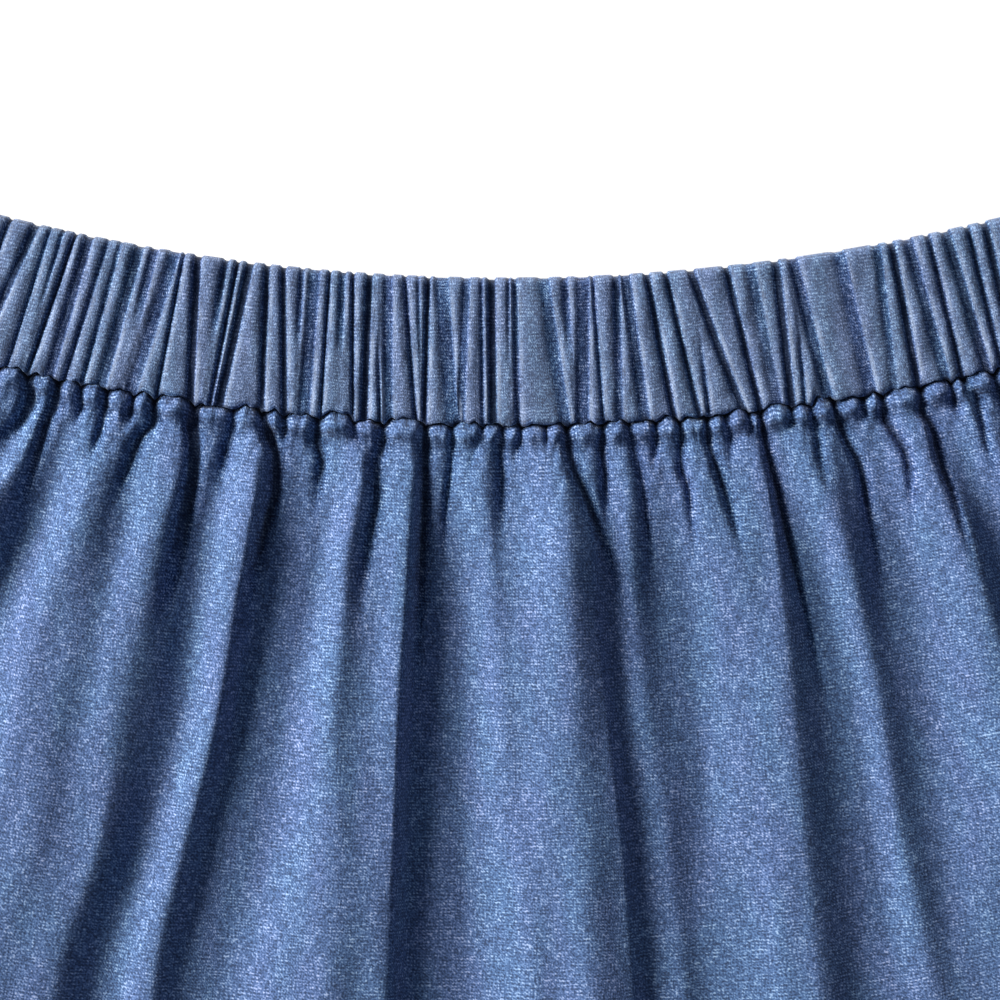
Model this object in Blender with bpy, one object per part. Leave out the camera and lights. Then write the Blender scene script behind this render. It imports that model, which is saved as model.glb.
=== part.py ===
"""Maxi skirt with an elastic waist, laid flat with its front up.

The laid-out skirt is a fan: the waist, the seam under the band and the hem are arcs about
one point above the waist, and the folds run out from it. A place on the cloth is an angle
round that point, a radius from it and a height above the table. Tables are in millimetres,
with x measured from the centre line and positive to the right.
"""

import math

import bmesh
import bpy
import numpy as np
from mathutils import Vector

MM = 0.001

# Sizes of the garment
WAIST_RADIUS = 577 * MM
HALF_FAN = math.radians(17)
BAND_HEIGHT = 40 * MM
PANEL_LENGTH = 880 * MM

# Thicknesses, and the room between neighbouring pieces
CLOTH = 1.2 * MM
BAND = 2.4 * MM
GAP = 0.3 * MM
THICKEST_DROP = 1.7

SEAM_RADIUS = WAIST_RADIUS + BAND_HEIGHT
PANEL_RADIUS = SEAM_RADIUS + GAP
HEM_RADIUS = PANEL_RADIUS + PANEL_LENGTH
APEX_Y = (WAIST_RADIUS * math.cos(HALF_FAN) + HEM_RADIUS) / 2

DENIM = (0.11, 0.19, 0.38, 1.0)
BAND_DENIM = (0.12, 0.18, 0.34, 1.0)

# Creases of the gathered band, left to right, with the pleat that stands to the right of each
BAND_PLEATS = [
    # top_x, seam_x, rise
    (-143.2, -159.2, 3.0),
    (-135.7, -153.2, 2.4),
    (-132.2, -144.7, 3.0),
    (-125.2, -138.7, 3.2),
    (-120.7, -132.2, 2.8),
    (-116.2, -128.7, 2.8),
    (-112.7, -123.7, 3.0),
    (-106.7, -117.7, 3.4),
    (-97.7, -109.2, 1.2),
    (-95.2, -103.2, 3.4),
    (-90.7, -93.2, 3.0),
    (-83.2, -90.7, 1.2),
    (-80.2, -88.2, 2.8),
    (-76.2, -85.2, 3.2),
    (-71.7, -73.7, 3.0),
    (-67.2, -67.2, 3.4),
    (-57.7, -61.7, 1.4),
    (-54.7, -57.7, 3.2),
    (-48.2, -48.7, 3.0),
    (-43.2, -45.2, 3.2),
    (-37.7, -38.2, 2.4),
    (-33.7, -31.2, 3.2),
    (-27.2, -28.7, 3.2),
    (-22.2, -19.7, 1.0),
    (-16.2, -18.2, 3.4),
    (-9.2, -9.2, 3.0),
    (-3.2, -2.7, 3.4),
    (5.8, 11.3, 3.4),
    (16.3, 16.3, 0.8),
    (17.8, 20.8, 3.2),
    (25.3, 25.8, 1.0),
    (28.8, 33.3, 2.8),
    (33.8, 40.8, 3.0),
    (38.8, 47.8, 3.2),
    (46.3, 60.3, 3.4),
    (55.8, 64.8, 3.2),
    (63.8, 70.3, 2.2),
    (69.8, 73.8, 0.8),
    (74.8, 84.3, 3.4),
    (87.8, 96.3, 3.0),
    (97.8, 102.3, 1.2),
    (101.8, 108.8, 3.0),
    (106.8, 116.8, 2.4),
    (111.8, 120.8, 3.0),
    (117.3, 128.3, 2.8),
    (122.8, 131.8, 2.8),
    (127.8, 136.3, 3.0),
]
END_PLEAT = 5.6
END_PLEAT_RISE = 3.0

# Gathers right under the seam, left to right: each starts at its crease and flattens at its reach
GATHERS = [
    # seam_x, rise, reach
    (-180.0, 4.2, 38),
    (-171.7, 4.2, 32),
    (-163.2, 4.2, 36),
    (-154.7, 4.2, 36),
    (-147.2, 3.6, 32),
    (-141.2, 2.9, 28),
    (-136.7, 3.8, 36),
    (-130.2, 3.6, 40),
    (-124.2, 4.2, 28),
    (-115.7, 4.2, 40),
    (-100.2, 4.2, 60),
    (-92.7, 4.2, 58),
    (-81.7, 4.2, 58),
    (-74.2, 3.8, 50),
    (-67.7, 4.2, 30),
    (-58.2, 4.2, 56),
    (-40.2, 4.2, 60),
    (-28.7, 4.2, 60),
    (-21.2, 4.2, 50),
    (-7.2, 3.1, 32),
    (-2.2, 4.2, 44),
    (10.3, 4.2, 56),
    (20.8, 4.0, 52),
    (27.8, 4.2, 42),
    (35.3, 3.8, 38),
    (41.8, 4.2, 52),
    (49.3, 4.0, 40),
    (56.3, 4.2, 60),
    (64.3, 4.2, 60),
    (79.8, 4.0, 54),
    (86.8, 4.2, 60),
    (98.8, 4.2, 60),
    (109.8, 4.2, 48),
    (117.3, 3.4, 36),
    (122.8, 3.8, 48),
    (129.3, 4.2, 40),
    (138.3, 4.2, 40),
    (146.3, 4.2, 38),
    (154.8, 4.2, 36),
    (163.3, 4.2, 36),
    (172.3, 4.2, 36),
]

# Long folds of the front: each row is one crest, valley or knee of the cloth, left to right, by
# its x at each of FOLD_AT below the seam, and how high the cloth stands at 15, 40, 80 and 162
FOLD_AT = [0, 15, 40, 80, 120, 162]
FOLDS = [
    # x at each of FOLD_AT, rise at 15, 40, 80 and 162
    (-180.4, -184.8, -192.1, -203.8, -215.5, -227.8, 0.3, 0.5, 0.5, 0.5),
    (-170.7, -175.4, -186.2, -199.8, -212.3, -224.9, 3.0, 7.0, 7.5, 8.0),
    (-159.7, -164.9, -178.2, -193.8, -207.3, -218.9, 0.5, 1.0, 1.0, 1.0),
    (-146.7, -152.9, -168.2, -186.8, -200.3, -212.9, 3.5, 8.0, 9.0, 9.0),
    (-135.7, -141.9, -158.2, -178.8, -193.3, -206.9, 0.8, 2.0, 2.5, 2.0),
    (-130.7, -136.4, -150.2, -170.8, -185.3, -199.9, 3.0, 8.0, 9.5, 9.0),
    (-123.7, -128.4, -138.2, -157.8, -172.3, -185.9, 0.5, 0.8, 1.0, 1.0),
    (-111.7, -117.4, -125.2, -135.8, -140.3, -148.9, 3.0, 8.5, 10.0, 9.2),
    (-104.7, -107.9, -113.2, -121.8, -130.3, -141.9, 1.6, 5.5, 8.5, 8.8),
    (-96.2, -98.4, -104.7, -113.8, -121.3, -132.9, 3.4, 8.5, 9.5, 8.4),
    (-85.7, -84.4, -92.7, -96.8, -107.3, -119.9, 0.5, 1.5, 2.6, 1.6),
    (-75.7, -75.4, -79.2, -86.3, -96.3, -106.4, 4.5, 9.5, 8.8, 8.0),
    (-70.7, -70.9, -73.7, -81.3, -89.8, -97.9, 1.5, 3.5, 3.5, 3.2),
    (-56.7, -56.4, -60.2, -69.8, -78.3, -89.9, 0.3, 1.2, 1.2, 1.4),
    (-47.2, -46.9, -51.2, -54.3, -54.3, -57.9, 4.0, 8.0, 9.5, 10.5),
    (-40.7, -40.4, -43.2, -44.8, -46.3, -48.9, 2.2, 5.0, 8.3, 9.8),
    (-33.2, -32.9, -34.7, -38.8, -41.3, -43.4, 3.8, 7.8, 9.8, 8.6),
    (-28.7, -28.9, -30.2, -32.8, -34.3, -34.9, 1.2, 2.2, 4.0, 3.6),
    (-24.7, -23.4, -22.2, -20.8, -20.3, -20.4, 0.3, 0.3, 0.0, 0.0),
    (-13.7, -12.4, -10.2, -7.3, -3.3, 0.1, 3.0, 5.5, 7.8, 8.5),
    (-6.2, -5.4, -6.7, -4.3, -0.3, 3.1, 1.6, 5.2, 8.2, 9.2),
    (8.8, 9.1, 10.3, 11.2, 12.2, 15.1, 5.5, 12.5, 12.5, 12.0),
    (15.3, 16.6, 19.3, 23.2, 26.7, 29.1, 2.2, 6.8, 7.5, 7.0),
    (20.3, 22.1, 23.8, 27.2, 30.7, 34.1, 1.6, 4.8, 5.2, 4.8),
    (24.8, 26.1, 27.3, 31.7, 36.7, 41.1, 2.4, 4.8, 4.6, 3.8),
    (35.3, 35.6, 39.8, 45.2, 47.7, 51.1, 0.6, 1.2, 2.4, 2.6),
    (46.3, 49.1, 56.8, 60.2, 61.7, 65.1, 2.6, 6.2, 7.6, 6.6),
    (56.3, 57.1, 62.3, 64.7, 65.7, 70.1, 1.6, 6.0, 8.8, 8.4),
    (62.3, 64.6, 67.8, 71.2, 73.7, 77.6, 2.6, 6.8, 10.2, 9.4),
    (67.3, 69.1, 75.8, 87.7, 93.2, 99.1, 0.6, 2.6, 4.4, 4.2),
    (74.8, 77.6, 86.8, 95.2, 100.7, 110.1, 3.2, 6.4, 6.6, 6.4),
    (91.3, 94.1, 101.8, 108.2, 112.2, 121.1, 0.3, 0.6, 1.6, 4.8),
    (107.3, 109.6, 118.8, 130.2, 139.7, 150.1, 4.2, 9.5, 10.0, 9.5),
    (114.3, 117.1, 129.8, 143.2, 153.7, 164.1, 1.0, 2.5, 3.0, 3.0),
    (121.3, 125.1, 138.8, 153.2, 163.7, 174.1, 3.6, 8.0, 9.0, 9.0),
    (131.3, 136.1, 149.8, 164.2, 175.7, 187.1, 0.8, 1.0, 1.0, 1.0),
    (145.3, 150.1, 161.8, 177.2, 188.7, 200.1, 3.5, 9.0, 9.5, 9.0),
    (158.3, 163.1, 173.8, 188.2, 199.7, 211.1, 0.5, 1.0, 1.0, 1.0),
    (169.3, 174.1, 183.8, 196.2, 207.7, 219.1, 3.0, 8.0, 8.5, 8.0),
    (180.4, 184.8, 192.1, 203.8, 215.5, 227.8, 0.3, 0.5, 0.5, 0.5),
]
HEM_SHARE = 0.75
SEAM_SQUEEZE = 0.5
KNUCKLE_AT = 7 * MM

# Sections of the front panel, as distances below the seam
PANEL_SECTIONS = [0, 3, 7, 14, 25, 40, 70, 110, 162, 290, 500, 700, 880]
# Sections of the band, as shares of its height from the folded top edge to the seam
BAND_SECTIONS = [0, 0.05, 0.3, 0.62, 0.95, 1]
BAND_EDGE_SHARE = 0.55

# Where one pleat or gather has its mesh lines: its crease, both shoulders and its crest
ACROSS_PLEAT = np.array([0, 0.2, 0.5, 0.8])
PLEAT_ROUNDNESS = 0.6
PLAIN_COLUMNS = 25


def arch(share):
    """Height of a rounded pleat, 0 at its creases and 1 at its crest."""
    return np.sin(np.pi * share) ** PLEAT_ROUNDNESS


def eased(share):
    """0 to 1 along a soft S."""
    share = np.clip(share, 0, 1)
    return share * share * (3 - 2 * share)


def angle_of(x_mm, radius):
    """Angle round the fan's point of a place x_mm from the centre line."""
    return np.arcsin(np.asarray(x_mm) * MM / radius)


def divided(creases, last):
    """Mesh lines across a row of pleats: ACROSS_PLEAT in each, then the last crease."""
    edges = np.append(creases, last)
    lines = edges[:-1, None] + np.diff(edges)[:, None] * ACROSS_PLEAT
    return np.append(lines.ravel(), last)


def slab(name, collection, material, angles, radii, top, bottom):
    """A closed wall of cloth: a flat grid is given its second side, then bent to the fan."""
    rows, columns = angles.shape
    shape = bmesh.new()
    bmesh.ops.create_grid(shape, x_segments=columns - 1, y_segments=rows - 1, size=1)
    made = bmesh.ops.extrude_face_region(shape, geom=shape.faces[:])["geom"]
    raised = {v for v in made if isinstance(v, bmesh.types.BMVert)}
    under = [f for f in shape.faces if not any(v in raised for v in f.verts)]
    for vert in shape.verts:
        column = round((vert.co.x + 1) / 2 * (columns - 1))
        row = round((1 - vert.co.y) / 2 * (rows - 1))
        height = top if vert in raised else bottom
        angle = angles[row, column]
        radius = radii[row, column]
        vert.co = Vector(
            (
                radius * math.sin(angle),
                APEX_Y - radius * math.cos(angle),
                height[row, column],
            )
        )
    if np.ptp(bottom) == 0:
        bmesh.ops.dissolve_faces(shape, faces=under)
    bmesh.ops.recalc_face_normals(shape, faces=shape.faces[:])
    mesh = bpy.data.meshes.new(name)
    shape.to_mesh(mesh)
    shape.free()
    mesh.materials.append(material)
    piece = bpy.data.objects.new(name, mesh)
    collection.objects.link(piece)
    return piece


def plain_slab(name, collection, material, inner_radius, outer_radius, low, high):
    """A flat piece of the fan, between two arcs."""
    across = np.linspace(-HALF_FAN, HALF_FAN, PLAIN_COLUMNS)
    angles = np.tile(across, (2, 1))
    radii = np.repeat([[inner_radius], [outer_radius]], PLAIN_COLUMNS, axis=1)
    level = np.ones_like(angles)
    return slab(name, collection, material, angles, radii, high * level, low * level)


def whole_band():
    """BAND_PLEATS carried on evenly to both side seams, as angles at the top and at the seam."""
    top = angle_of([row[0] for row in BAND_PLEATS], WAIST_RADIUS)
    seam = angle_of([row[1] for row in BAND_PLEATS], SEAM_RADIUS)
    rise = np.array([row[2] for row in BAND_PLEATS])
    pitch = END_PLEAT * MM / WAIST_RADIUS
    left = max(1, round((top[0] + HALF_FAN) / pitch))
    right = max(1, round((HALF_FAN - top[-1]) / pitch))
    spread_left = np.arange(left) / left
    spread_right = np.arange(1, right) / right
    top = np.concatenate([
        -HALF_FAN + (top[0] + HALF_FAN) * spread_left,
        top,
        top[-1] + (HALF_FAN - top[-1]) * spread_right,
    ])
    seam = np.concatenate([
        -HALF_FAN + (seam[0] + HALF_FAN) * spread_left,
        seam,
        seam[-1] + (HALF_FAN - seam[-1]) * spread_right,
    ])
    rise = np.concatenate([
        np.full(left, END_PLEAT_RISE),
        rise,
        np.full(right - 1, END_PLEAT_RISE),
    ])
    return top, seam, rise * MM


def front_band(collection, material):
    """The band's front half, with its pleats raised over a plain inside."""
    top, seam, rise = whole_band()
    down = np.array(BAND_SECTIONS)[:, None]
    angles = (1 - down) * divided(top, HALF_FAN) + down * divided(seam, HALF_FAN)
    radii = WAIST_RADIUS + down * BAND_HEIGHT + 0 * angles
    pleats = np.append((rise[:, None] * arch(ACROSS_PLEAT)).ravel(), 0)
    inside = BAND + GAP
    at_edge = (down == 0) | (down == 1)
    share = np.where(at_edge, BAND_EDGE_SHARE, 1)
    heights = inside + share * (BAND + pleats)
    return slab(
        "waistband_front", collection, material, angles, radii, heights,
        np.full_like(heights, inside),
    )


def through(stations, values, at):
    """Monotone cubic through values (stations, lines), read at each place in at."""
    step = np.diff(stations)[:, None]
    chord = np.diff(values, axis=0) / step
    before, after = chord[:-1], chord[1:]
    same_way = before * after > 0
    both = np.where(same_way, before + after, 1)
    inner = np.where(same_way, 2 * before * after / both, 0)
    slope = np.concatenate([chord[:1], inner, chord[-1:]])
    span = np.clip(np.searchsorted(stations, at, "right") - 1, 0, len(step) - 1)
    width = step[span]
    t = (at[:, None] - stations[span][:, None]) / width
    rise = values[span + 1] - values[span]
    return (
        values[span]
        + rise * t * t * (3 - 2 * t)
        + width * slope[span] * t * (1 - t) ** 2
        - width * slope[span + 1] * t * t * (1 - t)
    )


def fold_lines(downs):
    """Angle and rise of every fold line at each distance below the seam."""
    table = np.array(FOLDS)
    stations = np.append(FOLD_AT, PANEL_LENGTH / MM) * MM
    known = angle_of(table[:, :6].T, PANEL_RADIUS + stations[:6, None])
    known = np.clip(np.concatenate([known, known[-1:]]), -HALF_FAN, HALF_FAN)
    # A straight line on the table has its angle in proportion to 1 / radius
    lines = through(-1 / (PANEL_RADIUS + stations), known, -1 / (PANEL_RADIUS + downs))
    rises = table[:, 6:].T * MM
    rises = np.concatenate([0 * rises[:1], rises, HEM_SHARE * rises[-1:]])
    measured = np.array([0, 15, 40, 80, 162, PANEL_LENGTH / MM]) * MM
    return lines, through(measured, rises, downs)


def front_panel(collection, material):
    """The gathered front: short gathers at the seam running into long folds to the hem."""
    crease, rise, reach = np.array(GATHERS).T
    across = angle_of(divided(crease, -crease[0]), PANEL_RADIUS)
    across[[0, -1]] = -HALF_FAN, HALF_FAN
    pleats = np.append((rise[:, None] * arch(ACROSS_PLEAT)).ravel(), 0) * MM
    reaches = np.append(np.repeat(reach, len(ACROSS_PLEAT)), reach[-1]) * MM
    under = CLOTH + GAP
    downs = np.array(PANEL_SECTIONS) * MM
    lines, rises = fold_lines(downs)
    angles, radii, heights = [], [], []
    for down, line, line_rise in zip(downs, lines, rises):
        # The mesh lines start evenly between the fold lines and keep to them down the cloth
        angle = np.interp(across, lines[0], line)
        angle[[0, -1]] = -HALF_FAN, HALF_FAN
        fold = through(line, line_rise[:, None], np.clip(angle, line[0], line[-1]))[:, 0]
        swell = SEAM_SQUEEZE + (1 - SEAM_SQUEEZE) * eased(down / KNUCKLE_AT)
        fade = 1 - eased((down - KNUCKLE_AT) / (reaches - KNUCKLE_AT))
        angles.append(angle)
        radii.append(np.full_like(angle, PANEL_RADIUS + down))
        heights.append(under + CLOTH + fold + pleats * swell * fade)
    angles, radii, heights = np.array(angles), np.array(radii), np.array(heights)
    slope = np.gradient(heights, axis=1) / np.gradient(radii * np.sin(angles), axis=1)
    drop = CLOTH * np.minimum(np.hypot(1, slope), THICKEST_DROP)
    bottom = np.maximum(under, heights - drop)
    return slab("front_panel", collection, material, angles, radii, heights, bottom)


def fabric(name, colour):
    """Matt blue cotton."""
    material = bpy.data.materials.new(name)
    material.use_nodes = True
    surface = material.node_tree.nodes["Principled BSDF"]
    surface.inputs["Base Color"].default_value = colour
    surface.inputs["Roughness"].default_value = 0.9
    surface.inputs["Metallic"].default_value = 0.0
    material.diffuse_color = colour
    return material


def build():
    """The four cut pieces, the back ones flat on the table and the front ones on them."""
    for old in list(bpy.data.objects):
        bpy.data.objects.remove(old, do_unlink=True)
    skirt = bpy.data.collections.new("maxi_skirt")
    bpy.context.scene.collection.children.link(skirt)
    denim = fabric("denim", DENIM)
    band_denim = fabric("waistband_denim", BAND_DENIM)
    plain_slab("waistband_back", skirt, band_denim, WAIST_RADIUS, SEAM_RADIUS, 0, BAND)
    plain_slab("back_panel", skirt, denim, PANEL_RADIUS, HEM_RADIUS, 0, CLOTH)
    front_band(skirt, band_denim)
    front_panel(skirt, denim)


build()
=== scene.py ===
# %% [markdown]
# # A denim maxi skirt, laid flat with its front up
# The skirt is four pieces of cloth: a front and a back panel, and the front and back halves of
# an elastic waistband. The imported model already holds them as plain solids. This lesson lays a
# finer shell of cloth on each, gives it a woven denim finish, adds the sewing, and lights it
# softly from the upper left, as a product photograph is. All places are in metres, and the
# tables are in millimetres.

# %% Open the frame
import math

import bpy
import numpy as np
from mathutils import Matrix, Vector


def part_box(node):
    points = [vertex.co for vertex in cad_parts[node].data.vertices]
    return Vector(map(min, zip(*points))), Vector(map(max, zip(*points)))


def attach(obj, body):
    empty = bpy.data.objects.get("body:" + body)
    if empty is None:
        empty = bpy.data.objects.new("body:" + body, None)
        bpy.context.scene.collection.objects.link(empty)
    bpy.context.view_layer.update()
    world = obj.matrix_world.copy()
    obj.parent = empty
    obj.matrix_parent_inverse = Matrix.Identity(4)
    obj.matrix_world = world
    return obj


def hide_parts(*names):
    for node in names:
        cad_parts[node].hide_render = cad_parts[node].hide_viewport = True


MM = 0.001
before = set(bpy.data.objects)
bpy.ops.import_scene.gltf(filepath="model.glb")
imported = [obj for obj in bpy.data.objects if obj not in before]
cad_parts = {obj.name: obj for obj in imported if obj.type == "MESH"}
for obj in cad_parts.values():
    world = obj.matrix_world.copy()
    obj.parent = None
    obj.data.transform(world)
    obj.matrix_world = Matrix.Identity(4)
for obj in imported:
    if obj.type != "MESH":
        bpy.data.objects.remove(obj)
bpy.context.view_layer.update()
print("solids:", sorted(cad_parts))

# %% [markdown]
# ## The fan
# Laid out, the skirt is a fan: waist, seam and hem are arcs about one point above the waist, and
# every fold runs out from it. So a place on the cloth is an angle round that point, a radius
# from it and a height. The radii are the garment's own sizes, and the point is found from the
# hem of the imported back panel.

# %% Sizes of the fan
HALF_FAN = math.radians(17)
WAIST_RADIUS = 577 * MM
BAND_HEIGHT = 40 * MM
PANEL_LENGTH = 880 * MM
SEAM_RADIUS = WAIST_RADIUS + BAND_HEIGHT
HEM_RADIUS = SEAM_RADIUS + PANEL_LENGTH
CLOTH = 1.2 * MM
BAND = 2.4 * MM
GAP = 0.3 * MM

hem_middle = min(corner[1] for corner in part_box("back_panel"))
APEX_Y = hem_middle + HEM_RADIUS
# All unevenness comes from these draws, the same at each run
random = np.random.default_rng(7)


def angle_of(x_mm, radius):
    """Angle round the fan's point of a place x_mm from the centre line, at a radius."""
    return np.arcsin(np.asarray(x_mm) * MM / radius)


def laid(angle, radius, height):
    """Angle, radius and height as points: x = r sin a, y = apex - r cos a, z = height."""
    x = radius * np.sin(angle)
    y = APEX_Y - radius * np.cos(angle)
    return np.stack(np.broadcast_arrays(x, y, height), axis=-1)


print("fan point at y =", round(APEX_Y, 4))

# %% [markdown]
# ## From a grid of numbers to a piece of cloth
# Each piece is a grid with a row for each distance down the cloth and a column for each thread
# line across it. The whole arrays go into the mesh at once. The cloth's own coordinates go in
# too, as a UV map in metres, so that the weave follows the folds.

# %% Grid to mesh


def new_object(name, data):
    """An object of this data, at the origin."""
    made = bpy.data.objects.new(name, data)
    bpy.context.scene.collection.objects.link(made)
    return made


def grid_piece(name, points, cloth, marks):
    """A grid (rows, columns, 3) as a smooth mesh; cloth is its UV grid, marks are attributes."""
    rows, columns = points.shape[:2]
    index = np.arange(rows * columns).reshape(rows, columns)
    corners = np.stack(
        [index[:-1, :-1], index[1:, :-1], index[1:, 1:], index[:-1, 1:]], axis=-1
    ).reshape(-1)
    mesh = bpy.data.meshes.new(name)
    mesh.vertices.add(points.size // 3)
    mesh.vertices.foreach_set("co", points.reshape(-1))
    mesh.loops.add(corners.size)
    mesh.loops.foreach_set("vertex_index", corners)
    mesh.polygons.add(corners.size // 4)
    mesh.polygons.foreach_set("loop_start", np.arange(0, corners.size, 4))
    mesh.update(calc_edges=True)
    mesh.uv_layers.new(name="cloth").data.foreach_set("uv", cloth.reshape(-1, 2)[corners].reshape(-1))
    for mark, values in marks.items():
        layer = mesh.attributes.new(mark, "FLOAT", "POINT")
        layer.data.foreach_set("value", values.reshape(-1))
    mesh.shade_smooth()
    print(name, rows, "x", columns, "points,", corners.size // 2, "triangles")
    return new_object(name, mesh)


# %% [markdown]
# ## Creases of the waistband
# The band is a strip drawn in by elastic, so it stands in narrow pleats with flat tops, steep
# sides and dark grooves between. Each row of the table is one groove: where it lies on the top
# edge and at the seam, how wide its floor is, and how deep it is at both ends. A groove that
# runs out before the other edge has no depth there.

# %% Table of band creases
BAND_CREASES = [
    # top_x, seam_x, floor, top_deep, seam_deep
    (-143.2, -159.2, 1.0, 2.6, 2.6),
    (-135.7, -153.2, 1.6, 2.6, 2.4),
    (-132.2, -144.7, 0.6, 1.8, 2.4),
    (-128.7, -140.7, 0.6, 1.6, 0.0),
    (-125.2, -138.7, 0.9, 3.0, 2.8),
    (-120.7, -132.2, 1.8, 2.8, 2.4),
    (-116.2, -128.7, 0.8, 1.6, 2.4),
    (-112.7, -123.7, 0.8, 1.2, 2.4),
    (-106.7, -117.7, 2.0, 3.0, 2.8),
    (-102.7, -112.7, 1.6, 2.0, 0.0),
    (-96.7, -109.2, 2.4, 2.6, 1.6),
    (-95.2, -103.2, 0.6, 2.4, 2.8),
    (-90.7, -93.2, 1.6, 3.2, 3.2),
    (-83.2, -90.7, 1.2, 2.6, 0.0),
    (-80.2, -88.2, 0.9, 3.0, 2.6),
    (-76.2, -85.2, 1.7, 3.2, 3.0),
    (-71.7, -73.7, 1.2, 3.0, 2.8),
    (-67.2, -67.2, 1.2, 3.0, 3.0),
    (-62.2, -64.7, 1.0, 2.2, 0.0),
    (-57.7, -61.2, 2.4, 2.6, 2.2),
    (-54.7, -57.7, 0.6, 2.8, 2.8),
    (-50.7, -52.7, 1.2, 2.2, 0.0),
    (-48.2, -48.7, 0.7, 2.8, 2.8),
    (-43.2, -45.2, 1.4, 3.2, 3.2),
    (-41.7, -41.2, 0.5, 0.0, 2.4),
    (-37.7, -38.2, 1.8, 2.2, 2.0),
    (-33.7, -31.2, 0.8, 2.2, 2.6),
    (-30.2, -29.7, 0.5, 1.2, 0.0),
    (-27.2, -28.7, 1.0, 3.0, 2.8),
    (-22.2, -19.7, 3.2, 2.6, 2.4),
    (-16.2, -18.2, 1.6, 1.6, 1.6),
    (-12.7, -12.7, 0.6, 1.4, 2.2),
    (-9.2, -9.2, 1.6, 3.2, 3.0),
    (-5.2, -5.7, 0.5, 1.4, 0.0),
    (-3.2, -2.7, 1.0, 2.0, 2.0),
    (5.8, 11.3, 2.4, 3.0, 3.0),
    (10.8, 13.3, 1.2, 1.8, 0.0),
    (16.8, 16.3, 2.8, 3.0, 3.0),
    (18.3, 20.8, 0.6, 1.6, 2.4),
    (25.3, 25.8, 1.4, 2.4, 1.6),
    (28.3, 33.3, 2.0, 2.8, 2.8),
    (33.8, 40.8, 1.2, 3.0, 3.0),
    (38.8, 47.8, 1.0, 3.0, 2.8),
    (45.8, 50.3, 0.7, 0.0, 2.2),
    (46.3, 60.3, 1.6, 2.8, 2.8),
    (55.8, 64.8, 1.2, 3.0, 3.0),
    (62.8, 70.3, 2.2, 1.8, 1.4),
    (69.8, 73.8, 1.6, 2.8, 3.0),
    (73.8, 76.8, 0.6, 0.0, 2.0),
    (74.8, 84.3, 2.0, 2.8, 3.0),
    (87.8, 96.3, 2.6, 3.0, 2.8),
    (97.8, 102.3, 1.6, 2.0, 0.8),
    (101.8, 108.8, 1.4, 3.0, 3.0),
    (106.8, 116.8, 1.8, 2.6, 2.4),
    (111.8, 120.8, 1.0, 2.6, 2.8),
    (117.3, 128.3, 1.8, 3.0, 2.8),
    (122.8, 131.8, 1.0, 2.8, 2.6),
    (127.8, 136.3, 1.4, 2.8, 2.8),
]
print("band creases in the table:", len(BAND_CREASES))

# %% [markdown]
# The ends of the band are outside the photograph. There the grooves carry on in the same uneven
# way, as random rows within the range of the table's.

# %% The whole band
END_PITCH = 5.6
END_UNEVEN = 0.18
END_LEAST, END_MOST = (0.7, 2.2, 2.2), (1.9, 3.0, 3.0)


def whole_band():
    """The creases of the table carried on to both ends of the band, as columns of numbers."""
    table = np.array(BAND_CREASES)
    half = np.degrees(HALF_FAN)
    ends = []
    for side in (-1, 1):
        edge_row = table[0] if side < 0 else table[-1]
        start_top = np.degrees(angle_of(edge_row[0], WAIST_RADIUS))
        start_seam = np.degrees(angle_of(edge_row[1], SEAM_RADIUS))
        count = round((half - abs(start_top)) * math.radians(1) * WAIST_RADIUS / (END_PITCH * MM))
        share = (np.arange(1, count) + random.uniform(-END_UNEVEN, END_UNEVEN, count - 1)) / count
        top = start_top + (side * half - start_top) * share
        seam = start_seam + (side * half - start_seam) * share
        floor, top_deep, seam_deep = random.uniform(END_LEAST, END_MOST, (count - 1, 3)).T
        ends.append(np.stack([
            np.sin(np.radians(top)) * WAIST_RADIUS / MM,
            np.sin(np.radians(seam)) * SEAM_RADIUS / MM,
            floor, top_deep, seam_deep,
        ], axis=1))
    return np.concatenate([ends[0][::-1], table, ends[1]])


band_table = whole_band()
print("band creases, both ends included:", len(band_table))

# %% [markdown]
# ## Gathers and folds of the panel
# Under the seam the cloth bulges out between short creases, which fade within a few
# centimetres. Under them long soft folds run on to the hem. Both are tables: a crease is where
# it lies at 0, 6, 12, 20 and 30 mm below the seam, its depth, its reach, how wide its two sides
# are, and how far the seam swings up on the knuckle to its right. A fold line is a crest, a
# valley or a knee of the cloth: where it lies at 0, 15, 40, 80, 120 and 162 mm, and how high
# the cloth stands at 15, 40, 80 and 162 mm.

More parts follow.
